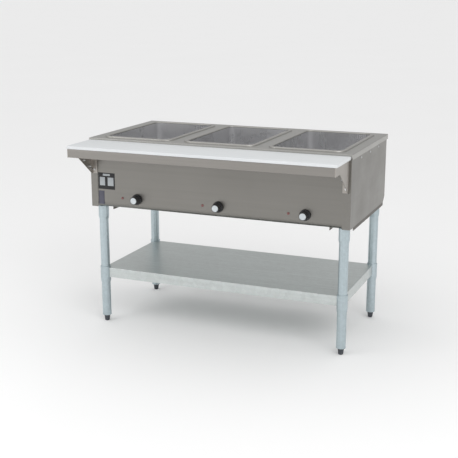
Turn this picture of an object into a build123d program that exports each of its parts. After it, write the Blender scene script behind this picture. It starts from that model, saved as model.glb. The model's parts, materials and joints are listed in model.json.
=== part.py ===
from build123d import *
import math
import os

# Three-well electric steam table: a stainless body with three raised-rim food wells, a poly work
# board on a bracketed front shelf, and an open galvanised stand with an adjustable undershelf.
# Millimetres. +X is the operator's right, -Y is the operator's side, +Z is up.
# The origin is on the floor, under the middle of the whole table.

# ---------------------------------------------------------------- driving dimensions: envelope
deck_width = 1219.2
deck_depth = 622.3
deck_top_z = 876.3
deck_gauge = 1.5
deck_flange = 22.0
deck_front_flange = 16.0
deck_overhang = 2.0
deck_bend = 2.5

body_width = 1213.0
body_depth = 606.0
body_bottom_z = 562.0
body_gauge = 1.2
body_gap = 0.1
panel_top_gap = 0.4
corner_post = 34.0
post_bend = 2.0
rear_chamfer = 25.0
front_bend = 26.0
front_return = 30.0
bottom_return = 15.0
cut_run = 1.0

board_width = 1207.0
board_depth = 203.2
board_thick = 12.7
board_drop = 8.0
board_round = 2.0
board_gap = 0.4

# ---------------------------------------------------------------- driving dimensions: wells
well_count = 3
well_pitch = 393.7
well_length = 508.0
well_opening = 304.8
well_depth = 203.0
well_corner = 28.0
well_floor_round = 12.0
well_setback = 306.0
bead_width = 18.0
bead_height = 5.5
bead_round = 4.5
bead_wall = 3.0
liner_gauge = 0.9
liner_lip = 8.0
insulation_gap = 0.5
insulation_thick = 15.0
insulation_floor = 35.0
insulation_top_gap = 10.0

element_r = 4.0
element_bend = 25.0
element_outer_x = 110.0
element_inner_x = 40.0
element_front = 190.0
element_turn = 120.0
element_tail_x = 30.0
element_tail = 46.0
element_hole_r = 7.0
clamp_width = 15.0
clamp_thick = 1.5
clamp_length = 236.0
clamp_stud_x = 75.0
clamp_stud_r = 2.5
clamp_stations = (-60.0, 120.0)

# ---------------------------------------------------------------- driving dimensions: controls
control_z = 610.0
control_offset = 20.0
pilot_offset = -74.0
shaft_r = 3.0
shaft_front = 24.0
shaft_depth = 16.0
shaft_play = 0.05
shaft_end_gap = 1.0
bushing_r = 4.75
bushing_hole_r = 5.0
bushing_front = 3.0
switch_width = 44.0
switch_depth = 34.0
switch_height = 36.0
blade_width = 6.3
blade_length = 8.0
blade_thick = 0.8
blade_pitch = 13.0
knob_clearance = 1.0
knob_skirt_r = 24.0
knob_skirt = 8.0
knob_grip_r = 19.0
knob_face_r = 17.0
knob_length = 35.0
knob_hollow_r = 16.5
knob_hollow = 6.0
knob_round = 1.5
knob_flutes = 16
knob_flute_r = 2.4
cap_r = 14.6
cap_seat = 1.5
cap_proud = 1.2
pilot_r = 4.6
pilot_body_r = 3.9
pilot_hole_r = 4.1
pilot_proud = 3.2
pilot_collar_r = 6.0
pilot_length = 26.0
pilot_dome_steps = 4

# ---------------------------------------------------------------- driving dimensions: front shelf
shelf_gauge = 1.2
shelf_apron = 36.0
shelf_apron_return = 12.0
shelf_rear_flange = 30.0
shelf_bend = 2.5
bracket_x = 597.0
bracket_gauge = 2.0
bracket_foot_z = 716.0
bracket_knee_y = -140.0
bracket_toe_y = -10.0
bracket_round = 5.0
bracket_flange = 26.0
bracket_flange_top_z = 822.0
bolt_r = 3.0
bolt_hole_r = 3.3
bolt_head_r = 5.5
bolt_head = 3.6
bolt_stem = 9.0
flange_nut_r = 6.5
flange_nut = 2.5
stud_nut_r = 6.0
stud_nut = 5.0
flange_bolt_inset = 11.0
flange_bolt_z = (734.0, 800.0)
plate_studs = ((-76.8, 786.4), (-29.5, 751.5))

panel_screw_z = 843.0
panel_screw_y = (150.0, 300.0, 450.0)
panel_screw_x = (-540.0, -180.0, 180.0, 540.0)
panel_screw_r = 2.5
panel_screw_hole_r = 2.7
panel_screw_head_r = 4.6
panel_screw_head = 2.6
panel_screw_stem = 8.0

# ---------------------------------------------------------------- driving dimensions: stand
leg_x = 572.0
leg_inset = 45.0
leg_r = 20.65
leg_wall = 1.5
leg_bottom_z = 32.0
socket_r = 23.8
socket_play = 0.25
socket_depth = 51.0
socket_taper = 11.0
socket_tip_r = 21.9
socket_roof = 3.0
channel_inner_x = 511.0
channel_outer_x = 606.0
channel_gauge = 2.0
channel_bend = 1.8
channel_drop = 15.0
channel_front = 30.0
channel_outer_front = 58.0
channel_rear = 582.0
set_screw_r = 4.0
set_screw_head_r = 6.5
set_screw_head = 5.0
socket_screw_z = 532.0

undershelf_top_z = 262.0
undershelf_gauge = 1.2
undershelf_edge = 6.0
undershelf_apron = 45.0
undershelf_bend = 2.5
collar_r = 23.8
collar_play = 0.4
collar_top_z = 269.0
collar_length = 62.0
collar_round = 1.0
collar_taper = 15.0
collar_tip_r = 22.0
collar_screw_z = 240.0
stiffener_length = 1040.0
stiffener_width = 62.0
stiffener_height = 26.0
stiffener_brim = 18.0

insert_lip = 3.0
insert_lip_proud = 0.6
insert_lip_round = 1.0
insert_plug = 24.0
insert_clearance = 0.05
stem_r = 4.95
stem_play = 0.05
stem_length = 54.0
foot_gap = 0.5
foot_top_r = 14.5
foot_tip_r = 11.0
foot_round = 3.0

# ---------------------------------------------------------------- driving dimensions: electrics
terminal_size = (74.0, 30.0, 22.0)
terminal_place = (330.0, 555.0)
terminal_barrier = 2.0
terminal_ways = 5
gland_z = 610.0
gland_nut_r = 15.0
gland_nut = 10.0
gland_body_r = 10.5
gland_bore_r = 6.5
gland_hole_r = 11.0
gland_inner = 16.0
gland_lock_nut = 5.0
gland_round = 1.0
loom_r = 5.0
loom_z = 572.0
loom_front = 44.0
loom_turn = 30.0
loom_drop_r = 3.0
plate_width = 85.0
plate_height = 75.0
plate_thick = 0.6
plate_corner_x = -570.0
plate_bottom_z = 645.0
strip_width = 30.0
strip_height = 62.0
strip_gap = 8.0

# ---------------------------------------------------------------- derived places
shelf_reach = board_depth + board_gap + deck_overhang
total_depth = shelf_reach + deck_depth - deck_overhang
front_y = shelf_reach - total_depth / 2
deck_front_y = front_y - deck_overhang
deck_mid_y = deck_front_y + deck_depth / 2
deck_under_z = deck_top_z - deck_gauge
rear_y = front_y + body_depth
panel_top_z = deck_under_z - panel_top_gap
panel_y = front_y + body_gauge + body_gap
side_x = body_width / 2
inner_x = side_x - body_gauge - body_gap
board_top_z = deck_top_z - board_drop
board_under_z = board_top_z - board_thick
well_y = front_y + well_setback
well_floor_z = deck_under_z - well_depth
element_z = well_floor_z - liner_gauge - element_r - body_gap
leg_front_y = front_y + leg_inset
leg_rear_y = rear_y - leg_inset
well_xs = [(i - (well_count - 1) / 2) * well_pitch for i in range(well_count)]
knob_xs = [x + control_offset for x in well_xs]
pilot_xs = [x + pilot_offset for x in knob_xs]
corners = {
    "front_left": (-leg_x, leg_front_y),
    "front_right": (leg_x, leg_front_y),
    "rear_left": (-leg_x, leg_rear_y),
    "rear_right": (leg_x, leg_rear_y),
}


# ---------------------------------------------------------------- helpers
def save(builder, name):
    """Label a finished sub-part and write it to its own STEP file."""
    builder.part.label = name
    export_step(builder.part, f"parts/{name}.step")


def slab(low, high, mode=Mode.ADD):
    """Add a box to the open part, from its lowest corner to its highest."""
    size = [b - a for a, b in zip(low, high)]
    middle = tuple((a + b) / 2 for a, b in zip(low, high))
    with Locations(middle):
        Box(*size, mode=mode)


def rod(start, direction, radius, length, mode=Mode.ADD):
    """Add a cylinder to the open part, from the centre of one end along a direction."""
    with BuildSketch(Plane(origin=start, z_dir=direction)) as section:
        Circle(radius)
    extrude(section.sketch, amount=length, mode=mode)


def bent_sheet(plane, path, bend, gauge, length):
    """Add a folded sheet to the open part: a filleted mid-line, given a thickness and a length."""
    with BuildSketch(plane) as section:
        with BuildLine():
            FilletPolyline(*path, radius=bend)
        trace(line_width=gauge)
    extrude(section.sketch, amount=length)


def rounded_tub(plane, length_x, length_y, corner, height, mode=Mode.ADD):
    """Add a block with rounded upright corners to the open part."""
    with BuildSketch(plane) as section:
        RectangleRounded(length_x, length_y, corner)
    extrude(section.sketch, amount=height, mode=mode)


def turned(centre, profile):
    """Add a solid of revolution about a front-to-back axis; profile points are (radius, y)."""
    with BuildSketch(Plane(origin=centre, x_dir=(1, 0, 0), z_dir=(0, 0, 1))) as section:
        with BuildLine():
            Polyline(*profile, close=True)
        make_face()
    revolve(section.sketch, axis=Axis(centre, (0, 1, 0)))


def upright_turned(x, y, profile):
    """Add a solid of revolution about an upright axis; profile points are (radius, z)."""
    with BuildSketch(Plane(origin=(x, y, 0), x_dir=(1, 0, 0), z_dir=(0, -1, 0))) as section:
        with BuildLine():
            Polyline(*profile, close=True)
        make_face()
    revolve(section.sketch, axis=Axis((x, y, 0), (0, 0, 1)))


os.makedirs("parts", exist_ok=True)

# ================================================================ deck
# A pan of sheet turned down on all four sides, shorter at the front where the work board meets it,
# with a hollow raised bead round each well opening.
with BuildPart() as deck_top:
    with BuildSketch(Plane.XY.offset(deck_top_z - deck_flange)):
        with Locations((0, deck_mid_y)):
            Rectangle(deck_width, deck_depth)
    extrude(amount=deck_flange)
    fillet(deck_top.edges().filter_by(Axis.Z), radius=deck_bend)
    fillet(deck_top.edges().group_by(Axis.Z)[-1], radius=deck_bend)
    offset(amount=-deck_gauge, openings=deck_top.faces().sort_by(Axis.Z)[0])
    front_cut_z = deck_top_z - deck_front_flange
    front_cut_y = deck_front_y + deck_gauge + deck_bend
    slab(
        (-deck_width / 2, deck_front_y, deck_top_z - deck_flange),
        (deck_width / 2, front_cut_y, front_cut_z),
        mode=Mode.SUBTRACT,
    )
    bead_x = well_opening + 2 * bead_width
    bead_y = well_length + 2 * bead_width
    with BuildSketch(Plane.XY.offset(deck_under_z)):
        with Locations([(x, well_y) for x in well_xs]):
            RectangleRounded(bead_x, bead_y, well_corner + bead_width)
    extrude(amount=deck_gauge + bead_height)
    with BuildSketch(Plane.XY.offset(deck_under_z)):
        with Locations([(x, well_y) for x in well_xs]):
            RectangleRounded(well_opening, well_length, well_corner)
    extrude(amount=deck_gauge + bead_height, mode=Mode.SUBTRACT)
    fillet(deck_top.edges().group_by(Axis.Z)[-1], radius=bead_round)
    with BuildSketch(Plane.XY.offset(deck_under_z)):
        with Locations([(x, well_y) for x in well_xs]):
            hollow = bead_width - bead_wall
            RectangleRounded(well_opening + 2 * hollow, well_length + 2 * hollow, well_corner + hollow)
            RectangleRounded(
                well_opening + 2 * bead_wall,
                well_length + 2 * bead_wall,
                well_corner + bead_wall,
                mode=Mode.SUBTRACT,
            )
    extrude(amount=bead_height, mode=Mode.SUBTRACT)
save(deck_top, "deck_top")

# ================================================================ body panels
# The front panel sits behind the corner posts and rolls under at the bottom.
with BuildPart() as front_panel:
    mid_y = panel_y + body_gauge / 2
    mid_z = body_bottom_z + body_gauge / 2
    bent_sheet(
        Plane.YZ.offset(-inner_x),
        [(mid_y, panel_top_z), (mid_y, mid_z), (panel_y + front_return, mid_z)],
        front_bend,
        body_gauge,
        2 * inner_x,
    )
    for knob_x in knob_xs:
        rod((knob_x, front_y, control_z), (0, 1, 0), bushing_hole_r, corner_post, Mode.SUBTRACT)
    for pilot_x in pilot_xs:
        rod((pilot_x, front_y, control_z), (0, 1, 0), pilot_hole_r, corner_post, Mode.SUBTRACT)
    for side in (-1, 1):
        for bolt_z in flange_bolt_z:
            bolt_x = side * (bracket_x - flange_bolt_inset)
            rod((bolt_x, front_y, bolt_z), (0, 1, 0), bolt_hole_r, corner_post, Mode.SUBTRACT)
save(front_panel, "front_panel")

# Each side panel is turned in at the front as a corner post, and turned in along its bottom.
for side, name in ((-1, "left_side_panel"), (1, "right_side_panel")):
    face_x = side * side_x
    inside_x = side * (side_x - body_gauge)
    with BuildPart() as side_panel:
        with BuildSketch(Plane.YZ.offset(min(face_x, inside_x))):
            with BuildLine():
                Polyline(
                    (front_y, body_bottom_z),
                    (rear_y - rear_chamfer, body_bottom_z),
                    (rear_y, body_bottom_z + rear_chamfer),
                    (rear_y, panel_top_z),
                    (front_y, panel_top_z),
                    close=True,
                )
            make_face()
        extrude(amount=body_gauge)
        post_x = side * (side_x - corner_post)
        slab(
            (min(face_x, post_x), front_y, body_bottom_z),
            (max(face_x, post_x), front_y + body_gauge, panel_top_z),
        )
        outer_edges = side_panel.edges().filter_by(Axis.Z)
        fillet(outer_edges.sort_by_distance((face_x, front_y, deck_top_z))[0], radius=post_bend)
        for bolt_z in flange_bolt_z:
            bolt_x = side * (bracket_x - flange_bolt_inset)
            rod((bolt_x, front_y - cut_run, bolt_z), (0, 1, 0), bolt_hole_r, corner_post, Mode.SUBTRACT)
        for screw_y in panel_screw_y:
            start = (side * (side_x + cut_run), front_y + screw_y, panel_screw_z)
            rod(start, (-side, 0, 0), panel_screw_hole_r, corner_post, Mode.SUBTRACT)
    save(side_panel, name)

# The rear panel drops straight down, then turns in at 45 degrees to meet the bottom.
with BuildPart() as rear_panel:
    half = body_gauge / 2
    knee_z = body_bottom_z + rear_chamfer
    bent_sheet(
        Plane.YZ.offset(-inner_x),
        [
            (rear_y - half, panel_top_z),
            (rear_y - half, knee_z),
            (rear_y - rear_chamfer + half, body_bottom_z + body_gauge),
        ],
        post_bend,
        body_gauge,
        2 * inner_x,
    )
    for screw_x in panel_screw_x:
        start = (screw_x, rear_y + cut_run, panel_screw_z)
        rod(start, (0, -1, 0), panel_screw_hole_r, bottom_return, Mode.SUBTRACT)
    gland_start = (terminal_place[0], rear_y + cut_run, gland_z)
    rod(gland_start, (0, -1, 0), gland_hole_r, bottom_return, Mode.SUBTRACT)
save(rear_panel, "rear_panel")

# The bottom panel closes the body and is turned up along both ends.
with BuildPart() as bottom_panel:
    bottom_front_y = panel_y + front_return + body_gap
    bottom_rear_y = rear_y - rear_chamfer - body_gauge
    slab(
        (-inner_x, bottom_front_y, body_bottom_z),
        (inner_x, bottom_rear_y, body_bottom_z + body_gauge),
    )
    for side in (-1, 1):
        ends = sorted((side * inner_x, side * (inner_x - body_gauge)))
        slab(
            (ends[0], bottom_front_y, body_bottom_z),
            (ends[1], bottom_rear_y, body_bottom_z + bottom_return),
        )
save(bottom_panel, "bottom_panel")

# ================================================================ wells
liner_x = well_opening + 2 * liner_gauge
liner_y = well_length + 2 * liner_gauge
liner_corner = well_corner + liner_gauge
jacket_x = liner_x + 2 * (insulation_gap + insulation_thick)
jacket_y = liner_y + 2 * (insulation_gap + insulation_thick)
jacket_floor_z = well_floor_z - insulation_floor

for index, well_x in enumerate(well_xs, start=1):
    # The liner is a deep-drawn pan whose lip hangs under the deck.
    with BuildPart() as well_liner:
        floor_plane = Plane(origin=(well_x, well_y, well_floor_z - liner_gauge))
        rounded_tub(floor_plane, liner_x, liner_y, liner_corner, well_depth + liner_gauge)
        fillet(well_liner.edges().group_by(Axis.Z)[0], radius=well_floor_round)
        offset(amount=-liner_gauge, openings=well_liner.faces().sort_by(Axis.Z)[-1])
        with BuildSketch(Plane(origin=(well_x, well_y, deck_under_z - liner_gauge))):
            RectangleRounded(
                well_opening + 2 * liner_lip, well_length + 2 * liner_lip, well_corner + liner_lip
            )
            RectangleRounded(well_opening, well_length, well_corner, mode=Mode.SUBTRACT)
        extrude(amount=liner_gauge)
    save(well_liner, f"well_liner_{index}")

    # A tubular element runs to and fro under the liner, its two tails turned down.
    with BuildPart() as heating_element:
        tail_z = element_z - element_tail
        front = well_y - element_front
        back = well_y + element_front
        turn = well_y - element_turn
        with BuildLine() as element_route:
            FilletPolyline(
                (well_x - element_tail_x, front, tail_z),
                (well_x - element_tail_x, front, element_z),
                (well_x - element_outer_x, front, element_z),
                (well_x - element_outer_x, back, element_z),
                (well_x - element_inner_x, back, element_z),
                (well_x - element_inner_x, turn, element_z),
                (well_x + element_inner_x, turn, element_z),
                (well_x + element_inner_x, back, element_z),
                (well_x + element_outer_x, back, element_z),
                (well_x + element_outer_x, front, element_z),
                (well_x + element_tail_x, front, element_z),
                (well_x + element_tail_x, front, tail_z),
                radius=element_bend,
            )
        with BuildSketch(Plane(origin=element_route.line @ 0, z_dir=element_route.line % 0)):
            Circle(element_r)
        sweep(path=element_route.line)
    save(heating_element, f"heating_element_{index}")

# Straps under the elements, each hung from the liner floor on two studs.
with BuildPart() as element_clamps:
    strap_top_z = element_z - element_r - body_gap
    stud_top_z = well_floor_z - liner_gauge
    for well_x in well_xs:
        for station in clamp_stations:
            strap_y = well_y + station
            slab(
                (well_x - clamp_length / 2, strap_y - clamp_width / 2, strap_top_z - clamp_thick),
                (well_x + clamp_length / 2, strap_y + clamp_width / 2, strap_top_z),
            )
            for stud_x in (-clamp_stud_x, clamp_stud_x):
                start = (well_x + stud_x, strap_y, strap_top_z - clamp_thick)
                rod(start, (0, 0, 1), clamp_stud_r, stud_top_z - start[2])
save(element_clamps, "element_clamps")

# An open-topped jacket of insulation board round and under each liner.
with BuildPart() as well_insulation:
    jacket_top_z = deck_under_z - insulation_top_gap
    for well_x in well_xs:
        outer_plane = Plane(origin=(well_x, well_y, jacket_floor_z))
        rounded_tub(
            outer_plane,
            jacket_x,
            jacket_y,
            liner_corner + insulation_gap + insulation_thick,
            jacket_top_z - jacket_floor_z,
        )
        inner_plane = Plane(origin=(well_x, well_y, jacket_floor_z + insulation_thick))
        rounded_tub(
            inner_plane,
            liner_x + 2 * insulation_gap,
            liner_y + 2 * insulation_gap,
            liner_corner + insulation_gap,
            jacket_top_z,
            Mode.SUBTRACT,
        )
        for tail_x in (-element_tail_x, element_tail_x):
            start = (well_x + tail_x, well_y - element_front, jacket_floor_z)
            rod(start, (0, 0, 1), element_hole_r, insulation_thick, Mode.SUBTRACT)
save(well_insulation, "well_insulation")

# ================================================================ controls
switch_front_y = panel_y + body_gauge + body_gap
for index, (knob_x, pilot_x) in enumerate(zip(knob_xs, pilot_xs), start=1):
    # Infinite-control switch: a block with a threaded bushing in front and blades behind.
    with BuildPart() as infinite_switch:
        slab(
            (knob_x - switch_width / 2, switch_front_y, control_z - switch_height / 2),
            (knob_x + switch_width / 2, switch_front_y + switch_depth, control_z + switch_height / 2),
        )
        fillet(infinite_switch.edges().filter_by(Axis.Y), radius=knob_round)
        bushing_y = front_y - bushing_front
        rod((knob_x, bushing_y, control_z), (0, 1, 0), bushing_r, switch_front_y - bushing_y)
        bore_length = shaft_depth + shaft_end_gap - bushing_y + front_y
        rod(
            (knob_x, bushing_y, control_z), (0, 1, 0), shaft_r + shaft_play, bore_length, Mode.SUBTRACT
        )
        blade_y = switch_front_y + switch_depth
        for column in (-1, 0, 1):
            blade_x = knob_x + column * blade_pitch
            slab(
                (blade_x - blade_thick / 2, blade_y, control_z - blade_width / 2),
                (blade_x + blade_thick / 2, blade_y + blade_length, control_z + blade_width / 2),
            )
    save(infinite_switch, f"infinite_switch_{index}")

    with BuildPart() as switch_shaft:
        start = (knob_x, front_y - shaft_front, control_z)
        rod(start, (0, 1, 0), shaft_r, shaft_front + shaft_depth)
    save(switch_shaft, f"switch_shaft_{index}")

    # The knob is a turned skirt and a fluted grip, hollow behind, bored for the shaft.
    with BuildPart() as knob:
        back = -knob_clearance
        step = back - knob_skirt
        face = back - knob_length
        turned(
            (knob_x, front_y, control_z),
            [
                (0, face + cap_seat),
                (cap_r, face + cap_seat),
                (cap_r, face),
                (knob_face_r - knob_round, face),
                (knob_face_r, face + knob_round),
                (knob_grip_r, step - knob_round),
                (knob_grip_r + knob_round, step),
                (knob_skirt_r - knob_round, step),
                (knob_skirt_r, step + knob_round),
                (knob_skirt_r, back),
                (knob_hollow_r, back),
                (knob_hollow_r, back - knob_hollow),
                (0, back - knob_hollow),
            ],
        )
        with BuildSketch(Plane(origin=(knob_x, front_y + face, control_z), z_dir=(0, 1, 0))):
            with PolarLocations(knob_grip_r + knob_flute_r / 2, knob_flutes):
                Circle(knob_flute_r)
        extrude(amount=step - face, mode=Mode.SUBTRACT)
        bore_start = (knob_x, front_y - shaft_front - body_gap, control_z)
        rod(bore_start, (0, 1, 0), shaft_r + shaft_play / 2, shaft_front, Mode.SUBTRACT)
    save(knob, f"knob_{index}")

    with BuildPart() as knob_cap:
        seat_y = -knob_clearance - knob_length + cap_seat
        crown_y = seat_y - cap_seat - cap_proud
        turned(
            (knob_x, front_y, control_z),
            [
                (0, seat_y),
                (cap_r - body_gap, seat_y),
                (cap_r - body_gap, crown_y + cap_proud),
                (cap_r - cap_proud, crown_y),
                (0, crown_y),
            ],
        )
    save(knob_cap, f"knob_cap_{index}")

    # Pilot lamp: a domed lens over a collar, with its body through the panel.
    with BuildPart() as pilot_lamp:
        collar_y = body_gauge
        dome_turn = [math.pi / 2 * step / pilot_dome_steps for step in range(pilot_dome_steps + 1)]
        pilot_dome = [(pilot_r * math.sin(t), -pilot_proud * math.cos(t)) for t in dome_turn]
        turned(
            (pilot_x, front_y, control_z),
            [
                *pilot_dome,
                (pilot_collar_r, 0),
                (pilot_collar_r, collar_y),
                (pilot_body_r, collar_y),
                (pilot_body_r, pilot_length),
                (0, pilot_length),
            ],
        )
    save(pilot_lamp, f"pilot_lamp_{index}")

# ================================================================ electrics
# A barrier terminal block on the body floor, beside the supply entry.
with BuildPart() as terminal_block:
    block_x, block_y = terminal_place[0], front_y + terminal_place[1] - terminal_size[1]
    floor_z = body_bottom_z + body_gauge
    slab(
        (block_x - terminal_size[0] / 2, block_y - terminal_size[1] / 2, floor_z),
        (block_x + terminal_size[0] / 2, block_y + terminal_size[1] / 2, floor_z + terminal_size[2] / 2),
    )
    way_pitch = (terminal_size[0] - terminal_barrier) / terminal_ways
    for way in range(terminal_ways + 1):
        wall_x = block_x - terminal_size[0] / 2 + way * way_pitch
        slab(
            (wall_x, block_y - terminal_size[1] / 2, floor_z),
            (wall_x + terminal_barrier, block_y + terminal_size[1] / 2, floor_z + terminal_size[2]),
        )
    for way in range(terminal_ways):
        screw_x = block_x - terminal_size[0] / 2 + terminal_barrier / 2 + (way + 0.5) * way_pitch
        for screw_y in (-terminal_size[1] / 4, terminal_size[1] / 4):
            start = (screw_x, block_y + screw_y, floor_z + terminal_size[2] / 2)
            rod(start, (0, 0, 1), bolt_r, terminal_barrier)
save(terminal_block, "terminal_block")

# The loom leaves the terminal block, runs to the front and along under the switches.
with BuildPart() as wiring_loom:
    loom_y = front_y + loom_front
    loom_start_y = block_y - terminal_size[1] / 2
    with BuildLine() as loom_route:
        FilletPolyline(
            (block_x, loom_start_y, loom_z),
            (block_x, loom_y, loom_z),
            (knob_xs[0], loom_y, loom_z),
            radius=loom_turn,
        )
    with BuildSketch(Plane(origin=loom_route.line @ 0, z_dir=loom_route.line % 0)):
        Circle(loom_r)
    sweep(path=loom_route.line)
    drop_y = switch_front_y + switch_depth / 2
    drop_height = control_z - switch_height / 2 - loom_z
    spur_x = block_x - loom_turn
    rod((spur_x, loom_y, loom_z), (1, 0, 0), loom_drop_r, knob_xs[-1] - spur_x)
    for knob_x in knob_xs:
        rod((knob_x, drop_y, loom_z), (0, 0, 1), loom_drop_r, drop_height)
        slab(
            (knob_x - loom_drop_r, drop_y, loom_z - loom_drop_r),
            (knob_x + loom_drop_r, loom_y, loom_z + loom_drop_r),
        )
save(wiring_loom, "wiring_loom")

# Supply entry: a cable gland through the rear panel, its nut outside and lock nut inside.
with BuildPart() as cord_gland:
    gland_x = terminal_place[0]
    inner_start_y = rear_y - body_gauge - gland_inner
    rod((gland_x, inner_start_y, gland_z), (0, 1, 0), gland_body_r, gland_inner + body_gauge + gland_nut)
    with BuildSketch(Plane(origin=(gland_x, rear_y, gland_z), z_dir=(0, 1, 0))):
        RegularPolygon(gland_nut_r, 6)
    extrude(amount=gland_nut)
    lock_nut_y = rear_y - body_gauge - gland_lock_nut
    with BuildSketch(Plane(origin=(gland_x, lock_nut_y, gland_z), z_dir=(0, 1, 0))):
        RegularPolygon(gland_nut_r, 6)
    extrude(amount=gland_lock_nut)
    fillet(cord_gland.edges().group_by(Axis.Y)[-1], radius=gland_round)
    rod(
        (gland_x, inner_start_y - cut_run, gland_z),
        (0, 1, 0),
        gland_bore_r,
        gland_inner + body_gauge + gland_nut + 2 * cut_run,
        Mode.SUBTRACT,
    )
save(cord_gland, "cord_gland")

# Blank data plate and a narrow blank strip below it, both on the front panel.
with BuildPart() as rating_plate:
    plate_y = panel_y - plate_thick
    slab(
        (plate_corner_x, plate_y, plate_bottom_z),
        (plate_corner_x + plate_width, panel_y, plate_bottom_z + plate_height),
    )
    strip_top_z = plate_bottom_z - strip_gap
    slab(
        (plate_corner_x, plate_y, strip_top_z - strip_height),
        (plate_corner_x + strip_width, panel_y, strip_top_z),
    )
save(rating_plate, "rating_plate")

# ================================================================ front shelf and work board
# A stainless shelf with a front apron, hooked flat against the body.
with BuildPart() as dish_shelf:
    half = shelf_gauge / 2
    shelf_mid_z = board_under_z - half
    apron_y = front_y - shelf_reach + half
    hang_y = front_y - half - body_gap
    shelf_end = bracket_x - bracket_gauge - body_gap
    bent_sheet(
        Plane.YZ.offset(-shelf_end),
        [
            (hang_y, shelf_mid_z - shelf_rear_flange),
            (hang_y, shelf_mid_z),
            (apron_y, shelf_mid_z),
            (apron_y, shelf_mid_z - shelf_apron),
            (apron_y + shelf_apron_return, shelf_mid_z - shelf_apron),
        ],
        shelf_bend,
        shelf_gauge,
        2 * shelf_end,
    )
save(dish_shelf, "dish_shelf")

# Shelf brackets: an upright plate that closes the shelf end, with a flange on the corner post.
for side, name in ((-1, "left_shelf_bracket"), (1, "right_shelf_bracket")):
    outer_x = side * bracket_x
    inside_x = side * (bracket_x - bracket_gauge)
    apron_low_z = board_under_z - shelf_apron - shelf_gauge
    with BuildPart() as shelf_bracket:
        with BuildSketch(Plane.YZ.offset(min(outer_x, inside_x))) as plate_outline:
            with BuildLine():
                Polyline(
                    (front_y - shelf_reach, board_under_z),
                    (front_y - shelf_reach, apron_low_z),
                    (front_y + bracket_knee_y, apron_low_z),
                    (front_y + bracket_toe_y, bracket_foot_z),
                    (front_y, bracket_foot_z),
                    (front_y, board_under_z),
                    close=True,
                )
            make_face()
            knee_point = (front_y + bracket_knee_y, apron_low_z, 0)
            fillet(plate_outline.vertices().sort_by_distance(knee_point)[0], radius=bracket_round)
        extrude(amount=bracket_gauge)
        flange_x = side * (bracket_x - bracket_flange)
        slab(
            (min(outer_x, flange_x), front_y - bracket_gauge, bracket_foot_z),
            (max(outer_x, flange_x), front_y, bracket_flange_top_z),
        )
        for bolt_z in flange_bolt_z:
            bolt_x = side * (bracket_x - flange_bolt_inset)
            start = (bolt_x, front_y - bracket_gauge - cut_run, bolt_z)
            rod(start, (0, 1, 0), bolt_hole_r, bracket_gauge + 2 * cut_run, Mode.SUBTRACT)
    save(shelf_bracket, name)

# Bracket fasteners: bolts through the flanges, and nuts on welded studs inside the plates.
with BuildPart() as bracket_bolts:
    for side in (-1, 1):
        bolt_x = side * (bracket_x - flange_bolt_inset)
        for bolt_z in flange_bolt_z:
            head_y = front_y - bracket_gauge
            rod((bolt_x, head_y, bolt_z), (0, -1, 0), bolt_head_r, bolt_head)
            rod((bolt_x, head_y, bolt_z), (0, 1, 0), bolt_r, bolt_stem)
            nut_y = panel_y + body_gauge
            with BuildSketch(Plane(origin=(bolt_x, nut_y, bolt_z), z_dir=(0, 1, 0))):
                RegularPolygon(flange_nut_r, 6)
            extrude(amount=flange_nut)
        for stud_y, stud_z in plate_studs:
            stud_x = side * (bracket_x - bracket_gauge)
            start = (stud_x, front_y + stud_y, stud_z)
            with BuildSketch(Plane(origin=start, z_dir=(-side, 0, 0))):
                RegularPolygon(stud_nut_r, 6)
            extrude(amount=stud_nut)
            rod(start, (-side, 0, 0), bolt_r, bolt_stem)
save(bracket_bolts, "bracket_bolts")

# Poly work board, loose on the shelf and a little below the deck.
with BuildPart() as cutting_board:
    slab(
        (-board_width / 2, front_y - shelf_reach, board_under_z),
        (board_width / 2, front_y - shelf_reach + board_depth, board_top_z),
    )
    fillet(cutting_board.edges(), radius=board_round)
save(cutting_board, "cutting_board")

# Pan-head screws along the tops of the side and rear panels.
with BuildPart() as panel_screws:
    for side in (-1, 1):
        for screw_y in panel_screw_y:
            start = (side * side_x, front_y + screw_y, panel_screw_z)
            rod(start, (side, 0, 0), panel_screw_head_r, panel_screw_head)
            rod(start, (-side, 0, 0), panel_screw_r, panel_screw_stem)
    for screw_x in panel_screw_x:
        start = (screw_x, rear_y, panel_screw_z)
        rod(start, (0, 1, 0), panel_screw_head_r, panel_screw_head)
        rod(start, (0, -1, 0), panel_screw_r, panel_screw_stem)
save(panel_screws, "panel_screws")

# ================================================================ stand
# Galvanised channels under the body ends carry the leg sockets.
for side, name in ((-1, "left_mounting_channel"), (1, "right_mounting_channel")):
    inner_face, outer_face = side * channel_inner_x, side * channel_outer_x
    web_low_z = body_bottom_z - channel_gauge
    with BuildPart() as mounting_channel:
        slab(
            (min(inner_face, outer_face), front_y + channel_front, web_low_z),
            (max(inner_face, outer_face), front_y + channel_rear, body_bottom_z),
        )
        for edge_x, start_y in ((inner_face, channel_front), (outer_face, channel_outer_front)):
            toward = side if edge_x == inner_face else -side
            lips = sorted((edge_x, edge_x + toward * channel_gauge))
            slab(
                (lips[0], front_y + start_y, body_bottom_z - channel_drop),
                (lips[1], front_y + channel_rear, body_bottom_z),
            )
        web_edges = mounting_channel.edges().filter_by(Axis.Y).group_by(Axis.Z)[-1]
        fillet(web_edges, radius=channel_bend)
    save(mounting_channel, name)

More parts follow.
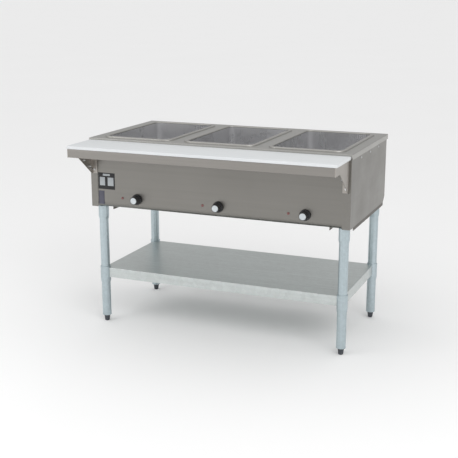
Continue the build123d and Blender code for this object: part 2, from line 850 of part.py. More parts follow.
# Cast sockets under the channels, tapering to the leg at the bottom.
socket_top_z = body_bottom_z - channel_gauge
for corner, (x, y) in corners.items():
    with BuildPart() as leg_socket:
        low_z = socket_top_z - socket_depth - socket_taper
        upright_turned(
            x,
            y,
            [
                (0, socket_top_z),
                (socket_r, socket_top_z),
                (socket_r, socket_top_z - socket_depth),
                (socket_tip_r, low_z),
                (leg_r + socket_play, low_z),
                (leg_r + socket_play, socket_top_z - socket_roof),
                (0, socket_top_z - socket_roof),
            ],
        )
        rod((x, y, socket_screw_z), (0, 1, 0), set_screw_r, socket_r + cut_run, Mode.SUBTRACT)
    save(leg_socket, f"leg_socket_{corner}")

    with BuildPart() as leg:
        leg_top_z = socket_top_z - socket_roof
        with BuildSketch(Plane.XY.offset(leg_bottom_z)):
            with Locations((x, y)):
                Circle(leg_r)
                Circle(leg_r - leg_wall, mode=Mode.SUBTRACT)
        extrude(amount=leg_top_z - leg_bottom_z)
    save(leg, f"leg_{corner}")

    # Bullet foot on a stem that screws up into the leg insert.
    with BuildPart() as foot:
        foot_top_z = leg_bottom_z - insert_lip - foot_gap
        upright_turned(
            x,
            y,
            [
                (0, 0),
                (foot_tip_r - foot_round, 0),
                (foot_tip_r, foot_round),
                (foot_top_r, foot_top_z - foot_round),
                (foot_top_r, foot_top_z),
                (stem_r, foot_top_z),
                (stem_r, foot_top_z + stem_length),
                (0, foot_top_z + stem_length),
            ],
        )
    save(foot, f"foot_{corner}")

with BuildPart() as socket_set_screws:
    for x, y in corners.values():
        start_y = y + leg_r
        rod((x, start_y, socket_screw_z), (0, 1, 0), set_screw_r - body_gap, socket_r - leg_r)
        with BuildSketch(Plane(origin=(x, y + socket_r, socket_screw_z), z_dir=(0, 1, 0))):
            RegularPolygon(set_screw_head_r, 6)
        extrude(amount=set_screw_head)
save(socket_set_screws, "socket_set_screws")

# Plugs in the leg ends, each with a lip under the tube and a threaded bore for the foot.
with BuildPart() as foot_inserts:
    for x, y in corners.values():
        lip_z = leg_bottom_z - insert_lip
        upright_turned(
            x,
            y,
            [
                (stem_r + stem_play, lip_z),
                (leg_r + insert_lip_proud - insert_lip_round, lip_z),
                (leg_r + insert_lip_proud, lip_z + insert_lip_round),
                (leg_r + insert_lip_proud, leg_bottom_z),
                (leg_r - leg_wall - insert_clearance, leg_bottom_z),
                (leg_r - leg_wall - insert_clearance, leg_bottom_z + insert_plug),
                (stem_r + stem_play, leg_bottom_z + insert_plug),
            ],
        )
save(foot_inserts, "foot_inserts")

# Undershelf: a galvanised tray turned down all round, notched at its corners for the collars.
shelf_x = leg_x + undershelf_edge
shelf_front_y = leg_front_y - undershelf_edge
shelf_rear_y = leg_rear_y + undershelf_edge
shelf_mid_y = (shelf_front_y + shelf_rear_y) / 2
with BuildPart() as undershelf:
    with BuildSketch(Plane.XY.offset(undershelf_top_z - undershelf_apron)):
        with Locations((0, shelf_mid_y)):
            Rectangle(2 * shelf_x, shelf_rear_y - shelf_front_y)
    extrude(amount=undershelf_apron)
    fillet(undershelf.edges().group_by(Axis.Z)[-1], radius=undershelf_bend)
    offset(amount=-undershelf_gauge, openings=undershelf.faces().sort_by(Axis.Z)[0])
    for x, y in corners.values():
        rod((x, y, 0), (0, 0, 1), collar_r + body_gap, deck_top_z, Mode.SUBTRACT)
save(undershelf, "undershelf")

with BuildPart() as shelf_collars:
    for x, y in corners.values():
        straight_low_z = collar_top_z - collar_length
        upright_turned(
            x,
            y,
            [
                (leg_r + collar_play, collar_top_z),
                (collar_r - collar_round, collar_top_z),
                (collar_r, collar_top_z - collar_round),
                (collar_r, straight_low_z),
                (collar_tip_r, straight_low_z - collar_taper),
                (leg_r + collar_play, straight_low_z - collar_taper),
            ],
        )
        inward = (-x / abs(x), 1 if y < shelf_mid_y else -1, 0)
        rod((x, y, collar_screw_z), inward, set_screw_r, collar_r + cut_run, Mode.SUBTRACT)
save(shelf_collars, "shelf_collars")

# Set screws lock the collars from under the shelf, pointing in diagonally from each corner.
with BuildPart() as shelf_set_screws:
    for x, y in corners.values():
        inward = Vector(-x / abs(x), 1 if y < shelf_mid_y else -1, 0).normalized()
        axis_point = Vector(x, y, collar_screw_z)
        stem = collar_r - leg_r - collar_play
        rod(axis_point + inward * (leg_r + collar_play), inward, set_screw_r - body_gap, stem)
        with BuildSketch(Plane(origin=axis_point + inward * collar_r, z_dir=inward)):
            RegularPolygon(set_screw_head_r, 6)
        extrude(amount=set_screw_head)
save(shelf_set_screws, "shelf_set_screws")

# A hat-section stiffener under the middle of the undershelf.
with BuildPart() as shelf_stiffener:
    brim_z = undershelf_top_z - 1.5 * undershelf_gauge - body_gap
    floor_z = brim_z - stiffener_height
    wall_y = stiffener_width / 2
    bent_sheet(
        Plane.YZ.offset(-stiffener_length / 2),
        [
            (shelf_mid_y - wall_y - stiffener_brim, brim_z),
            (shelf_mid_y - wall_y, brim_z),
            (shelf_mid_y - wall_y, floor_z),
            (shelf_mid_y + wall_y, floor_z),
            (shelf_mid_y + wall_y, brim_z),
            (shelf_mid_y + wall_y + stiffener_brim, brim_z),
        ],
        shelf_bend,
        undershelf_gauge,
        stiffener_length,
    )
save(shelf_stiffener, "shelf_stiffener")
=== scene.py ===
import json
import math

import bmesh
import bpy
from mathutils import Euler, Matrix, Vector


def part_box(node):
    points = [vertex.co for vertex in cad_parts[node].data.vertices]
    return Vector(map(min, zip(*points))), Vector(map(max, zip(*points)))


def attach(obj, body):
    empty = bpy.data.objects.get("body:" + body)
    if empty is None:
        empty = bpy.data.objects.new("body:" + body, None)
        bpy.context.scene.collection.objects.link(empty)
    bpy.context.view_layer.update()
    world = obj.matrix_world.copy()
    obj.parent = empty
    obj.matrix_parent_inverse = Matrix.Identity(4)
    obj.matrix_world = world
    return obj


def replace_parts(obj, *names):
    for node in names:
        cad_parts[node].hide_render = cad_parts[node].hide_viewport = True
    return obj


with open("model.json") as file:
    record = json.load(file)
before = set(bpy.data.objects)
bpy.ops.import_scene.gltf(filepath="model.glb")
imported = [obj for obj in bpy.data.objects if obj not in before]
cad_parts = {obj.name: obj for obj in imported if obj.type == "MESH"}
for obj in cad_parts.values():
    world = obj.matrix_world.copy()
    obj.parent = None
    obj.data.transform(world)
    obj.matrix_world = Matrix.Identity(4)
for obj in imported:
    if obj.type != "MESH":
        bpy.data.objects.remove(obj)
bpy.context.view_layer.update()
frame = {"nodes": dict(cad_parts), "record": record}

# A three-well electric steam table: brushed stainless body and deck, white poly work board,
# black knobs with silver caps, and a galvanised stand. Metres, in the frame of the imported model.

MM = 0.001
TAU = 2 * math.pi
CONTROLS = (1, 2, 3)
CORNERS = ("front_left", "front_right", "rear_left", "rear_right")

CAMERA_PLACE = (1.5617, -3.8285, 1.5082)
CAMERA_DOWNWARD = 0.2479
CAMERA_TURN = 0.3905
CAMERA_LENS = 73.47
FLOOR_REACH = 200.0
WELD = 1e-6


# ------------------------------------------------------------------ camera, lights, floor
def add_camera():
    data = bpy.data.cameras.new("studio_camera")
    data.lens = CAMERA_LENS
    data.sensor_width = 36.0
    data.clip_end = 500.0
    camera = bpy.data.objects.new("studio_camera", data)
    camera.location = CAMERA_PLACE
    camera.rotation_euler = Euler((math.pi / 2 - CAMERA_DOWNWARD, 0, CAMERA_TURN), "XYZ")
    bpy.context.scene.collection.objects.link(camera)
    bpy.context.scene.camera = camera


def add_light(name, location, target, size, watts):
    data = bpy.data.lights.new(name, "AREA")
    data.shape = "RECTANGLE"
    data.size, data.size_y = size
    data.energy = watts
    light = bpy.data.objects.new(name, data)
    light.location = location
    aim = Vector(target) - Vector(location)
    light.rotation_euler = aim.to_track_quat("-Z", "Y").to_euler()
    bpy.context.scene.collection.objects.link(light)


def add_world():
    """A soft white surround: brightest overhead, dimmer low down and behind the table."""
    world = bpy.data.worlds.new("studio_world")
    world.use_nodes = True
    tree = world.node_tree
    direction = tree.nodes.new("ShaderNodeSeparateXYZ")
    tree.links.new(tree.nodes.new("ShaderNodeTexCoord").outputs["Generated"], direction.inputs[0])
    strength = tree.nodes.new("ShaderNodeMath")
    strength.operation = "MULTIPLY"
    upward = ("Z", 0.0, 0.7, 0.72, 1.15)
    rearward = ("Y", -0.5, 0.5, 1.0, 0.65)
    for slot, (axis, start, end, first, last) in enumerate((upward, rearward)):
        ramp = tree.nodes.new("ShaderNodeMapRange")
        for name, value in zip(("From Min", "From Max", "To Min", "To Max"), (start, end, first, last)):
            ramp.inputs[name].default_value = value
        tree.links.new(direction.outputs[axis], ramp.inputs["Value"])
        tree.links.new(ramp.outputs["Result"], strength.inputs[slot])
    surround = tree.nodes["Background"].inputs
    surround["Color"].default_value = (1, 1, 1, 1)
    tree.links.new(strength.outputs[0], surround["Strength"])
    bpy.context.scene.world = world


def add_floor(material):
    corners = [(x * FLOOR_REACH, y * FLOOR_REACH, 0) for x, y in ((-1, -1), (1, -1), (1, 1), (-1, 1))]
    mesh = bpy.data.meshes.new("studio_floor")
    mesh.from_pydata(corners, [], [(0, 1, 2, 3)])
    mesh.materials.append(material)
    floor = bpy.data.objects.new("studio_floor", mesh)
    bpy.context.scene.collection.objects.link(floor)


# ------------------------------------------------------------------ procedural materials
class Shader:
    """One procedural material being put together, with its pattern fixed to the piece."""

    def __init__(self, name, **constants):
        self.material = bpy.data.materials.new(name)
        self.material.use_nodes = True
        self.tree = self.material.node_tree
        self.bsdf = self.tree.nodes["Principled BSDF"]
        self.place = self.tree.nodes.new("ShaderNodeTexCoord").outputs["Object"]
        for socket, value in constants.items():
            self.bsdf.inputs[socket.replace("_", " ")].default_value = value

    def node(self, kind, inputs=(), **settings):
        made = self.tree.nodes.new(kind)
        for key, value in settings.items():
            setattr(made, key, value)
        for socket, value in dict(inputs).items():
            if isinstance(value, bpy.types.NodeSocket):
                self.tree.links.new(value, made.inputs[socket])
            else:
                made.inputs[socket].default_value = value
        return made

    def to(self, socket, value):
        self.tree.links.new(value, self.bsdf.inputs[socket])

    def stretched(self, scale, turn=(0, 0, 0)):
        node = self.node("ShaderNodeMapping", {"Vector": self.place, "Scale": scale, "Rotation": turn})
        return node.outputs["Vector"]

    def noise(self, at, scale=1.0, detail=2.0, rough=0.5):
        inputs = {"Vector": at, "Scale": scale, "Detail": detail, "Roughness": rough}
        return self.node("ShaderNodeTexNoise", inputs).outputs["Fac"]

    def spangle(self, at, scale):
        node = self.node("ShaderNodeTexVoronoi", {"Vector": at, "Scale": scale})
        return self.node("ShaderNodeSeparateColor", {"Color": node.outputs["Color"]}).outputs["Red"]

    def spread(self, value, low, high, start=0.0, end=1.0):
        """Map a value from start...end to low...high, and no further."""
        inputs = {"Value": value, "From Min": start, "From Max": end, "To Min": low, "To Max": high}
        return self.node("ShaderNodeMapRange", inputs).outputs["Result"]

    def fold(self, operation, values):
        total = values[0]
        for value in values[1:]:
            node = self.node("ShaderNodeMath", {0: total, 1: value}, operation=operation)
            total = node.outputs["Value"]
        return total

    def sum(self, *values):
        return self.fold("ADD", values)

    def times(self, *values):
        return self.fold("MULTIPLY", values)

    def tint(self, factor, dark, light):
        """Go from one colour to another by a value."""
        inputs = {"Factor": factor, 6: (*dark, 1), 7: (*light, 1)}
        return self.node("ShaderNodeMix", inputs, data_type="RGBA").outputs[2]

    def over(self, factor, under, colour):
        """Lay a fixed colour over a colour socket by a value."""
        inputs = {"Factor": factor, 6: under, 7: (*colour, 1)}
        return self.node("ShaderNodeMix", inputs, data_type="RGBA").outputs[2]

    def bump(self, height, strength, distance):
        inputs = {"Height": height, "Strength": strength, "Distance": distance}
        self.to("Normal", self.node("ShaderNodeBump", inputs).outputs["Normal"])


GRAIN_ALONG = {"x": (5, 800, 800), "y": (800, 5, 800), "z": (800, 800, 5)}
STREAK_ALONG = {"x": (1.5, 90, 90), "y": (90, 1.5, 90), "z": (90, 90, 1.5)}


def shades(colour, contrast):
    """A darker and a lighter version of a colour."""
    return [c * (1 - contrast) for c in colour], [min(1, c * (1 + contrast)) for c in colour]


def brushed(name, colour, along, rough, contrast=0.13, dull=0.0, relief=0.12):
    """Brushed stainless: fine grain, long soft streaks, and smudges that dull it in patches."""
    shader = Shader(name, Metallic=1.0 - dull)
    grain = shader.noise(shader.stretched(GRAIN_ALONG[along]), detail=3)
    streak = shader.noise(shader.stretched(STREAK_ALONG[along]), detail=3)
    smudge = shader.noise(shader.place, scale=4.5, detail=4, rough=0.6)
    tone = shader.sum(shader.times(grain, 0.35), shader.times(streak, 0.4), shader.times(smudge, 0.25))
    shader.to("Base Color", shader.tint(tone, *shades(colour, contrast)))
    dulled = shader.spread(smudge, rough - 0.05, rough + 0.09, 0.3, 0.75)
    shader.to("Roughness", shader.sum(dulled, shader.spread(grain, -0.04, 0.04)))
    shader.bump(shader.sum(grain, shader.times(streak, 0.6)), relief, 0.0004)
    return shader.material


def galvanised(name, colour, rough, cell, contrast, streaked=None):
    """Zinc coating: crystal spangle of mixed brightness, with dull white bloom in patches."""
    shader = Shader(name, Metallic=0.8)
    flake = shader.spangle(shader.place, cell)
    fine = shader.spangle(shader.place, cell * 3.1)
    bloom = shader.noise(shader.place, scale=9, detail=5, rough=0.6)
    tone = shader.sum(shader.times(flake, 0.5), shader.times(fine, 0.25), shader.times(bloom, 0.25))
    if streaked:
        drawn = shader.noise(shader.stretched(STREAK_ALONG[streaked]), detail=3)
        tone = shader.sum(shader.times(tone, 0.5), shader.times(drawn, 0.5))
    base = shader.tint(tone, *shades(colour, contrast))
    dull = shader.spread(bloom, 0.0, 0.3, 0.52, 0.75)
    shader.to("Base Color", shader.over(dull, base, [c * 1.12 for c in colour]))
    glinting = shader.spread(flake, rough - 0.04, rough + 0.04)
    shader.to("Roughness", shader.sum(glinting, shader.times(dull, 0.12)))
    shader.bump(bloom, 0.04, 0.0003)
    return shader.material


def poly_board():
    """White polyethylene: fine pebble, knife scores in two directions and faint greying."""
    shader = Shader("poly_board", Metallic=0.0)
    pebble = shader.noise(shader.place, scale=900, detail=1)
    wear = shader.noise(shader.place, scale=6, detail=4, rough=0.6)
    cuts_a = shader.noise(shader.stretched((12, 700, 12), (0, 0, 0.35)), detail=1)
    cuts_b = shader.noise(shader.stretched((500, 9, 9), (0, 0, -0.25)), detail=1)
    cuts = shader.sum(shader.spread(cuts_a, 0, 1, 0.66, 0.74), shader.spread(cuts_b, 0, 1, 0.68, 0.76))
    scored = shader.times(cuts, shader.spread(wear, 0.0, 0.5, 0.45, 0.65))
    base = shader.tint(wear, (0.655, 0.68, 0.695), (0.73, 0.745, 0.755))
    shader.to("Base Color", shader.over(shader.times(scored, 0.35), base, (0.46, 0.47, 0.47)))
    shader.to("Roughness", shader.spread(wear, 0.36, 0.5, 0.3, 0.7))
    shader.bump(shader.sum(shader.times(pebble, 0.4), shader.times(scored, -1.0)), 0.15, 0.0004)
    return shader.material


def moulded(name, colour, rough, coat=0.0, speck=0.15):
    """Moulded plastic or bakelite: slight pebble, colour drift and rubbed patches."""
    shader = Shader(name, Metallic=0.0, Coat_Weight=coat)
    pebble = shader.noise(shader.place, scale=1400, detail=2)
    rub = shader.noise(shader.place, scale=35, detail=4, rough=0.65)
    shader.to("Base Color", shader.tint(rub, *shades(colour, speck)))
    shader.to("Roughness", shader.spread(rub, rough - 0.07, rough + 0.1, 0.3, 0.7))
    shader.bump(pebble, 0.12, 0.0002)
    return shader.material


def plated(name, colour, rough):
    """Bright plating or bare sheathing with handling marks."""
    shader = Shader(name, Metallic=1.0)
    marks = shader.noise(shader.place, scale=220, detail=4, rough=0.65)
    drift = shader.noise(shader.place, scale=25, detail=2)
    shader.to("Base Color", shader.tint(drift, *shades(colour, 0.1)))
    shader.to("Roughness", shader.spread(marks, rough - 0.08, rough + 0.16, 0.3, 0.7))
    shader.bump(marks, 0.08, 0.0002)
    return shader.material


def floor_paint():
    """Pale seamless studio floor with the faintest tone in it."""
    shader = Shader("studio_floor", Roughness=0.95, Specular_IOR_Level=0.1)
    tone = shader.noise(shader.place, scale=0.6, detail=2)
    shader.to("Base Color", shader.tint(tone, (0.93, 0.93, 0.93), (0.95, 0.95, 0.95)))
    return shader.material


PANEL_STEEL = (0.238, 0.23, 0.214)


def slot_looks():
    """A material for each of the record's slots."""
    return {
        "stainless_deck": brushed("stainless_deck", (0.42, 0.413, 0.393), "x", 0.34),
        "stainless_panel": brushed("stainless_panel", PANEL_STEEL, "x", 0.34),
        "stainless_liner": brushed("stainless_liner", (0.745, 0.745, 0.755), "z", 0.27, 0.05, 0.05, 0.025),
        "stainless_shelf": brushed("stainless_shelf", (0.42, 0.395, 0.365), "z", 0.38),
        "galvanised_tube": galvanised("galvanised_tube", (0.46, 0.535, 0.565), 0.33, 90, 0.2, "z"),
        "galvanised_sheet": galvanised("galvanised_sheet", (0.42, 0.46, 0.45), 0.46, 55, 0.08, "x"),
        "poly_board": poly_board(),
        "knob_black": moulded("knob_black", (0.016, 0.016, 0.018), 0.34, 0.15),
        "cap_silver": plated("cap_silver", (0.62, 0.66, 0.68), 0.34),
        "lamp_red": moulded("lamp_red", (0.21, 0.085, 0.08), 0.35, 0.15),
        "insulation_board": moulded("insulation_board", (0.62, 0.56, 0.36), 0.85),
        "element_sheath": plated("element_sheath", (0.16, 0.13, 0.12), 0.5),
        "switch_case": moulded("switch_case", (0.66, 0.62, 0.52), 0.5),
        "fastener_zinc": plated("fastener_zinc", (0.72, 0.73, 0.74), 0.3),
        "plate_blank": moulded("plate_blank", (0.011, 0.011, 0.013), 0.5),
        "foot_grey": moulded("foot_grey", (0.05, 0.055, 0.065), 0.42),
        "cable_black": moulded("cable_black", (0.02, 0.02, 0.02), 0.5),
    }


def node_looks():
    """Materials for the pieces whose grain or finish isn't that of the rest of their slot; the apron,
    undershelf and mounting channels also take darker or lighter copies of their slot's colour, which is
    painted shade or painted light.
    """
    side = brushed("side_steel", PANEL_STEEL, "y", 0.34)
    # The mounting channels get a much darker, browner copy of the galvanised sheet: painted shade for
    # where they sit under the side panels.
    channel = galvanised("channel_painted_shade", (0.15, 0.14, 0.125), 0.5, 55, 0.12, "y")
    return {
        "left_side_panel": side,
        "right_side_panel": side,
        # The dish shelf apron's darker tone is painted shade, standing in for the dark reflection on its
        # front face.
        "dish_shelf": brushed("apron_painted_shade", (0.31, 0.295, 0.276), "x", 0.36, 0.2),
        # The undershelf is a lighter copy of the galvanised sheet: painted light on its top.
        "undershelf": galvanised("undershelf_zinc_painted_light", (0.56, 0.595, 0.587), 0.34, 55, 0.2, "x"),
        "left_mounting_channel": channel,
        "right_mounting_channel": channel,
    }


# ------------------------------------------------------------------ mesh tools
class Piece:
    """A mesh being built in the row frame from turned, extruded and boxed forms."""

    def __init__(self, name):
        self.name = name
        self.bm = bmesh.new()

    def box(self, low, high, bevel=0.0, segments=3):
        size = [b - a for a, b in zip(low, high)]
        middle = [(a + b) / 2 for a, b in zip(low, high)]
        place = Matrix.Translation(middle) @ Matrix.Diagonal((*size, 1))
        made = bmesh.ops.create_cube(self.bm, size=1.0, matrix=place)["verts"]
        if bevel:
            edges = list({e for v in made for e in v.link_edges})
            rounding = {"offset": bevel, "segments": segments, "affect": "EDGES", "profile": 0.5}
            bmesh.ops.bevel(self.bm, geom=edges, **rounding)

    def lathe(self, start, axis, profile, steps=48, ridge=None):
        """Turn a profile of (radius, distance) about an axis; ridge(angle, i) scales a point's radius."""
        start, axis = Vector(start), Vector(axis).normalized()
        side = axis.orthogonal().normalized()
        up = axis.cross(side)
        rings = []
        for i, (radius, along) in enumerate(profile):
            centre = start + axis * along
            if radius == 0:
                rings.append([self.bm.verts.new(centre)])
                continue
            ring = []
            for k in range(steps):
                angle = TAU * k / steps
                r = radius * (ridge(angle, i) if ridge else 1.0)
                reach = side * r * math.cos(angle) + up * r * math.sin(angle)
                ring.append(self.bm.verts.new(centre + reach))
            rings.append(ring)
        for a, b in zip(rings, rings[1:]):
            for k in range(steps):
                n = (k + 1) % steps
                if len(a) == 1 and len(b) == 1:
                    continue
                if len(a) == 1:
                    self.bm.faces.new((a[0], b[n], b[k]))
                elif len(b) == 1:
                    self.bm.faces.new((a[k], a[n], b[0]))
                else:
                    self.bm.faces.new((a[k], a[n], b[n], b[k]))

    def done(self, body, material, smooth_angle=40):
        """Close the mesh off as an object that rides on a body and shows in a material slot."""
        bmesh.ops.remove_doubles(self.bm, verts=self.bm.verts, dist=WELD)
        bmesh.ops.recalc_face_normals(self.bm, faces=self.bm.faces)
        mesh = bpy.data.meshes.new(self.name)
        self.bm.to_mesh(mesh)
        self.bm.free()
        for polygon in mesh.polygons:
            polygon.use_smooth = True
        mesh.set_sharp_from_angle(angle=math.radians(smooth_angle))
        mesh.materials.append(material)
        piece = bpy.data.objects.new(self.name, mesh)
        bpy.context.scene.collection.objects.link(piece)
        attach(piece, body)
        return piece


def solids(node):
    """The separate solids of a CAD node, each as its lowest and highest corners."""
    bm = bmesh.new()
    bm.from_mesh(frame["nodes"][node].data)
    bmesh.ops.remove_doubles(bm, verts=bm.verts, dist=0.01 * MM)
    found, unseen = [], set(bm.verts)
    while unseen:
        solid, edge = set(), {unseen.pop()}
        while edge:
            solid |= edge
            edge = {e.other_vert(v) for v in edge for e in v.link_edges} - solid
        unseen -= solid
        places = [v.co for v in solid]
        low = Vector(min(p[axis] for p in places) for axis in range(3))
        high = Vector(max(p[axis] for p in places) for axis in range(3))
        found.append((low, high))
    bm.free()
    return found


# ------------------------------------------------------------------ detailed pieces
def build_board(looks):
    """The work board: a slab of poly with rounded plan corners and eased edges."""
    low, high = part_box("cutting_board")
    corner, ease, steps = 6 * MM, 1.6 * MM, 6
    piece = Piece("work_board_slab")
    centres = [(high.x - corner, high.y - corner), (low.x + corner, high.y - corner)]
    centres += [(low.x + corner, low.y + corner), (high.x - corner, low.y + corner)]
    layers = []
    for turn in range(steps + 1):
        a = math.pi / 2 * turn / steps
        layers.append((ease * (1 - math.sin(a)), low.z + ease * (1 - math.cos(a))))
    layers += [(inset, low.z + high.z - z) for inset, z in reversed(layers)]
    rings = []
    for inset, z in layers:
        ring = []
        for quarter, (x, y) in enumerate(centres):
            for k in range(steps + 1):
                a = math.pi / 2 * (quarter + k / steps)
                reach = corner - inset
                ring.append(piece.bm.verts.new((x + reach * math.cos(a), y + reach * math.sin(a), z)))
        rings.append(ring)
    count = len(rings[0])
    for a, b in zip(rings, rings[1:]):
        for k in range(count):
            piece.bm.faces.new((a[k], a[(k + 1) % count], b[(k + 1) % count], b[k]))
    piece.bm.faces.new(rings[-1])
    piece.bm.faces.new(list(reversed(rings[0])))
    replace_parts(piece.done("work_board", looks["poly_board"]), "cutting_board")


def build_knob(index, looks):
    """A fluted bakelite knob with a rounded skirt, a pointer rib and a spun metal cap."""
    low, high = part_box(f"knob_{index}")
    centre = (low + high) / 2
    skirt_r = (high.x - low.x) / 2
    length = high.y - low.y
    back = Vector((centre.x, high.y, centre.z))
    grip_r, face_r, skirt = 19 * MM, 17 * MM, 8 * MM
    hollow_r, recess_r = 16.5 * MM, 14.7 * MM
    flutes, depth, fluted_points = 16, 0.075, range(7, 13)

    def fluted(angle, i):
        wave = 0.5 + 0.5 * math.cos(flutes * angle)
        return 1 - (depth * wave ** 3 if i in fluted_points else 0)

    profile = [
        (0, 6 * MM), (hollow_r, 6 * MM), (hollow_r, 0), (skirt_r - 0.8 * MM, 0), (skirt_r, 0.8 * MM),
        (skirt_r, skirt - 2.2 * MM), (skirt_r - 1.6 * MM, skirt), (grip_r + 0.8 * MM, skirt + 0.4 * MM),
        (grip_r, skirt + 1.6 * MM), (grip_r - 0.4 * MM, skirt + 10 * MM),
        (face_r + 0.9 * MM, length - 6 * MM), (face_r + 0.4 * MM, length - 2.4 * MM),
        (face_r, length - 1.2 * MM), (face_r - 0.9 * MM, length - 0.2 * MM), (face_r - 1.6 * MM, length),
        (recess_r, length), (recess_r, length - 1.5 * MM), (0, length - 1.5 * MM),
    ]
    knob = Piece(f"knob_{index}_grip")
    knob.lathe(back, (0, -1, 0), profile, 128, fluted)
    top = centre.z + skirt_r
    knob.box(
        (centre.x - 0.9 * MM, back.y - skirt - 0.5 * MM, top - 5.0 * MM),
        (centre.x + 0.9 * MM, back.y - skirt + 1.5 * MM, top - 0.7 * MM),
        0.3 * MM, 2,
    )
    body = f"control_{index}"
    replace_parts(knob.done(body, looks["knob_black"]), f"knob_{index}")

    low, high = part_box(f"knob_cap_{index}")
    cap_r, thick = (high.x - low.x) / 2, high.y - low.y
    seat = Vector((centre.x, high.y, centre.z))
    cap = Piece(f"knob_{index}_cap")
    cap.lathe(seat, (0, -1, 0), [
        (0, 0), (cap_r, 0), (cap_r, thick - 1.1 * MM), (cap_r - 0.25 * MM, thick - 0.5 * MM),
        (cap_r - 0.8 * MM, thick - 0.12 * MM), (cap_r - 1.5 * MM, thick),
        (cap_r - 2.4 * MM, thick - 0.1 * MM), (cap_r - 3.0 * MM, thick - 0.5 * MM),
        (cap_r * 0.6, thick - 0.42 * MM), (cap_r * 0.3, thick - 0.3 * MM),
        (0, thick - 0.25 * MM),
    ], 96)
    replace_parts(cap.done(body, looks["cap_silver"], 60), f"knob_cap_{index}")


def build_lamp(index, looks):
    """A pilot lamp: a bezel ring round a domed, faceted jewel, with its barrel behind the panel."""
    low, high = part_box(f"pilot_lamp_{index}")
    centre = (low + high) / 2
    bezel_r = (high.x - low.x) / 2
    length = high.y - low.y
    front = Vector((centre.x, low.y, centre.z))
    jewel_r, barrel_r = 4.2 * MM, 3.9 * MM
    facet_count, faceted_points = 12, range(1, 4)

    def facets(angle, i):
        wave = 0.5 + 0.5 * math.cos(facet_count * angle)
        return 1 - (0.05 * wave if i in faceted_points else 0)

    lamp = Piece(f"pilot_{index}_lamp")
    lamp.lathe(front, (0, 1, 0), [
        (0, 0), (jewel_r * 0.45, 0.25 * MM), (jewel_r * 0.8, 1.0 * MM), (jewel_r, 2.3 * MM),
        (jewel_r + 0.3 * MM, 2.5 * MM), (bezel_r - 0.7 * MM, 2.5 * MM), (bezel_r - 0.1 * MM, 3.0 * MM),
        (bezel_r, 3.4 * MM), (bezel_r, 4.4 * MM), (barrel_r, 4.4 * MM), (barrel_r, length - 2 * MM),
        (3.2 * MM, length), (0, length),
    ], 72, facets)
    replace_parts(lamp.done("table", looks["lamp_red"]), f"pilot_lamp_{index}")


def build_foot(corner, looks):
    """A bullet foot: a ribbed plastic foot on a threaded stem."""
    low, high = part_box(f"foot_{corner}")
    centre = (low + high) / 2
    base = Vector((centre.x, centre.y, low.z))
    top_r, tip_r, height = (high.x - low.x) / 2, 11 * MM, 28.5 * MM
    stem_r, stem_top = 4.95 * MM, high.z - low.z
    pitch = 1.5 * MM
    rib_count, ribbed_points = 24, range(3, 7)

    def ribbed(angle, i):
        wave = 0.5 + 0.5 * math.cos(rib_count * angle)
        return 1 - (0.035 * wave if i in ribbed_points else 0)

    profile = [(0, 0), (tip_r - 3 * MM, 0), (tip_r - 0.8 * MM, 1 * MM), (tip_r, 3 * MM)]
    profile += [(tip_r + 0.8 * MM, 9 * MM), (top_r - 1.6 * MM, 17 * MM), (top_r - 0.3 * MM, 24.5 * MM)]
    profile += [(top_r, 25.5 * MM), (top_r, height - 0.8 * MM), (top_r - 0.8 * MM, height)]
    profile.append((stem_r, height))
    z = height
    while z + pitch < stem_top:
        profile += [(stem_r, z + 0.25 * pitch), (stem_r - 0.7 * MM, z + 0.6 * pitch)]
        profile.append((stem_r, z + 0.95 * pitch))
        z += pitch
    profile += [(stem_r - 0.8 * MM, stem_top), (0, stem_top)]
    foot = Piece(f"foot_{corner}_bullet")
    foot.lathe(base, (0, 0, 1), profile, 72, ribbed)
    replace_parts(foot.done(f"adjuster_{corner}", looks["foot_grey"]), f"foot_{corner}")


def build_panel_screws(looks):
    """Washer-head screws along the tops of the side and rear panels."""
    head, stem_r, hex_r = 2.6 * MM, 2.5 * MM, 3.2 * MM
    hexed_points = range(1, 5)

    def hexed(angle, i):
        sixth = TAU / 6
        return math.cos(sixth / 2) / math.cos(angle % sixth - sixth / 2) if i in hexed_points else 1.0

    screws = Piece("washer_head_screws")
    for low, high in solids("panel_screws"):
        centre, size = (low + high) / 2, high - low
        if size.x > size.y:
            outward = Vector((math.copysign(1, centre.x), 0, 0))
            length, head_r = size.x, size.y / 2
        else:
            outward = Vector((0, 1, 0))
            length, head_r = size.y, size.x / 2
        face = centre + outward * length / 2
        screws.lathe(face, -outward, [
            (0, 0.25 * MM), (hex_r - 0.9 * MM, 0.2 * MM), (hex_r - 0.6 * MM, 0), (hex_r, 0.3 * MM),
            (hex_r, head - 0.9 * MM), (hex_r + 0.2 * MM, head - 0.7 * MM),
            (head_r - 0.3 * MM, head - 0.5 * MM), (head_r, head - 0.3 * MM), (head_r, head),
            (stem_r, head), (stem_r, length), (0, length),
        ], 48, hexed)
    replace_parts(screws.done("table", looks["fastener_zinc"], 30), "panel_screws")


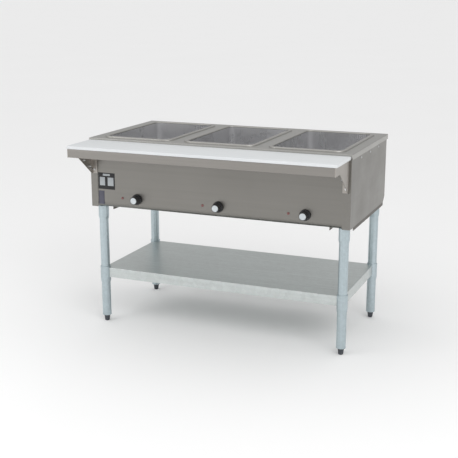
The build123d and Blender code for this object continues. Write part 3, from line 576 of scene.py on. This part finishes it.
def build_plate(looks):
    """The blank plate and strip: a dark backing with raised pale panels and nothing printed on them."""
    strip, plate = sorted(solids("rating_plate"), key=lambda box: box[1].x - box[0].x)
    low, high = plate
    size = high - low
    backing = Piece("plate_backing")
    sunk = Vector((0, 0.25 * MM, 0))
    backing.box(low + sunk, high, 0.1 * MM, 2)
    bars = [(0.0, 0.0, 1.0, 0.17), (0.44, 0.17, 0.54, 0.78)]
    bars += [(0.0, 0.78, 0.25, 1.0), (0.75, 0.78, 1.0, 1.0)]
    for x0, z0, x1, z1 in bars:
        backing.box(
            (low.x + size.x * x0, low.y, low.z + size.z * z0),
            (low.x + size.x * x1, high.y, low.z + size.z * z1),
            0.1 * MM, 2,
        )
    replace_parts(backing.done("table", looks["plate_blank"]), "rating_plate")

    pale = moulded("plate_pale", (0.42, 0.45, 0.47), 0.45, speck=0.08)
    panels = Piece("plate_panels")
    for x0, z0, x1, z1 in [(0.1, 0.22, 0.41, 0.73), (0.57, 0.22, 0.92, 0.73), (0.29, 0.82, 0.71, 0.94)]:
        panels.box(
            (low.x + size.x * x0, low.y + 0.1 * MM, low.z + size.z * z0),
            (low.x + size.x * x1, high.y, low.z + size.z * z1),
            0.1 * MM, 2,
        )
    panels.done("table", pale)

    slate = moulded("strip_slate", (0.085, 0.085, 0.115), 0.45, speck=0.2)
    low, high = strip
    band = Piece("plate_strip")
    band.box(low, high, 0.15 * MM, 2)
    rib = 1.2 * MM
    for x in (low.x + 2 * rib, high.x - 3 * rib):
        band.box((x, low.y, low.z + 2 * rib), (x + rib, high.y, high.z - 2 * rib), 0.1 * MM, 2)
    band.done("table", slate)


def main():
    bpy.context.scene.view_settings.view_transform = "Standard"
    add_camera()
    add_world()
    add_floor(floor_paint())
    add_light("key", (2.8, -2.6, 3.0), (0, 0, 0.6), (2.6, 1.8), 40)
    add_light("floor_left", (-2.3, -2.6, 1.9), (-2.3, -2.6, 0), (1.6, 1.6), 24)

    looks, special = slot_looks(), node_looks()
    for entry in frame["record"]["subparts"]:
        for held in frame["nodes"][entry["node"]].material_slots:
            held.material = special.get(entry["node"], looks[entry["material_slot"]])

    build_board(looks)
    for index in CONTROLS:
        build_knob(index, looks)
        build_lamp(index, looks)
    for corner in CORNERS:
        build_foot(corner, looks)
    build_panel_screws(looks)
    build_plate(looks)


main()
